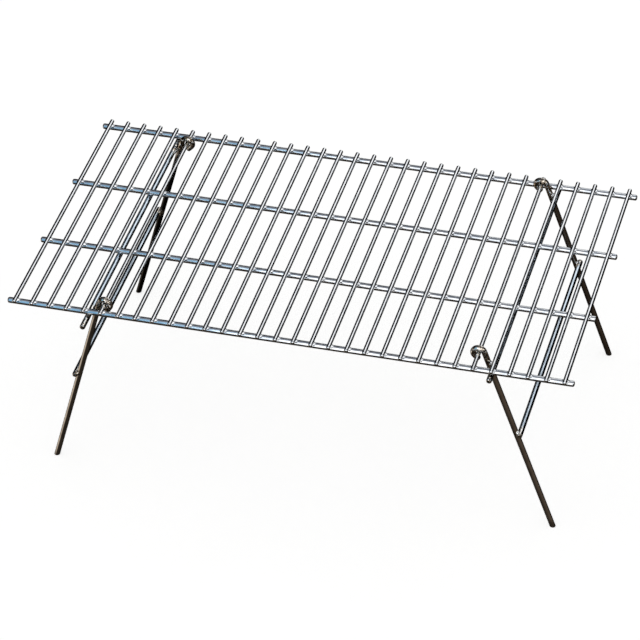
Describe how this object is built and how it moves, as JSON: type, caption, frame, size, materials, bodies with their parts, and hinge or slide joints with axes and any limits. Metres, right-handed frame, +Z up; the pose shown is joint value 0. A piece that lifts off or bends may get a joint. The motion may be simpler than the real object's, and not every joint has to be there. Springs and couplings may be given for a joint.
{
  "type": "campfire grill grate",
  "caption": "Folding wire cooking grate that stands over a campfire on two hinged leg frames with brace bars and stop bars.",
  "frame": {"origin": "on the ground under the middle of the grate, with both leg frames open", "axes": "+X along the long rods to the right, +Y along the cross wires to the back, +Z up"},
  "size_m": [0.6096, 0.3443, 0.2369],
  "materials": {
    "cross_wire_chrome": "bright chrome plating on drawn steel wire",
    "pivot_wire_chrome": "bright chrome plating, rubbed by the leg eyes",
    "long_rod_chrome": "bright chrome plating on drawn steel rod",
    "leg_chrome": "chrome plating, a little darker and warmer than the grate",
    "frame_bar_chrome": "bright chrome plating on drawn steel rod"
  },
  "bodies": {
    "grate": {"front_long_rod": "long_rod_chrome", "front_inner_long_rod": "long_rod_chrome", "back_inner_long_rod": "long_rod_chrome", "back_long_rod": "long_rod_chrome", "cross_wire_01": "cross_wire_chrome", "cross_wire_02": "cross_wire_chrome", "cross_wire_03": "cross_wire_chrome", "cross_wire_04": "cross_wire_chrome", "cross_wire_05": "cross_wire_chrome", "cross_wire_07": "cross_wire_chrome", "cross_wire_08": "cross_wire_chrome", "cross_wire_09": "cross_wire_chrome", "cross_wire_10": "cross_wire_chrome", "cross_wire_11": "cross_wire_chrome", "cross_wire_12": "cross_wire_chrome", "cross_wire_13": "cross_wire_chrome", "cross_wire_14": "cross_wire_chrome", "cross_wire_15": "cross_wire_chrome", "cross_wire_16": "cross_wire_chrome", "cross_wire_17": "cross_wire_chrome", "cross_wire_18": "cross_wire_chrome", "cross_wire_19": "cross_wire_chrome", "cross_wire_20": "cross_wire_chrome", "cross_wire_21": "cross_wire_chrome", "cross_wire_22": "cross_wire_chrome", "cross_wire_23": "cross_wire_chrome", "cross_wire_24": "cross_wire_chrome", "cross_wire_25": "cross_wire_chrome", "cross_wire_26": "cross_wire_chrome", "cross_wire_28": "cross_wire_chrome", "cross_wire_29": "cross_wire_chrome", "cross_wire_30": "cross_wire_chrome", "cross_wire_31": "cross_wire_chrome", "cross_wire_32": "cross_wire_chrome", "left_pivot_wire": "pivot_wire_chrome", "right_pivot_wire": "pivot_wire_chrome"},
    "left_leg_frame": {"left_front_leg": "leg_chrome", "left_back_leg": "leg_chrome", "left_stop_bar": "frame_bar_chrome", "left_brace_bar": "frame_bar_chrome"},
    "right_leg_frame": {"right_front_leg": "leg_chrome", "right_back_leg": "leg_chrome", "right_stop_bar": "frame_bar_chrome", "right_brace_bar": "frame_bar_chrome"}
  },
  "joints": [
    {"name": "left_leg_fold", "type": "hinge", "parent": "grate", "child": "left_leg_frame", "pos_m": [-0.20003, -0.0054, 0.2278], "axis": [0, -1, 0], "range_deg": [0, 106]},
    {"name": "right_leg_fold", "type": "hinge", "parent": "grate", "child": "right_leg_frame", "pos_m": [0.20003, 0.0054, 0.2278], "axis": [0, 1, 0], "range_deg": [0, 106]}
  ]
}
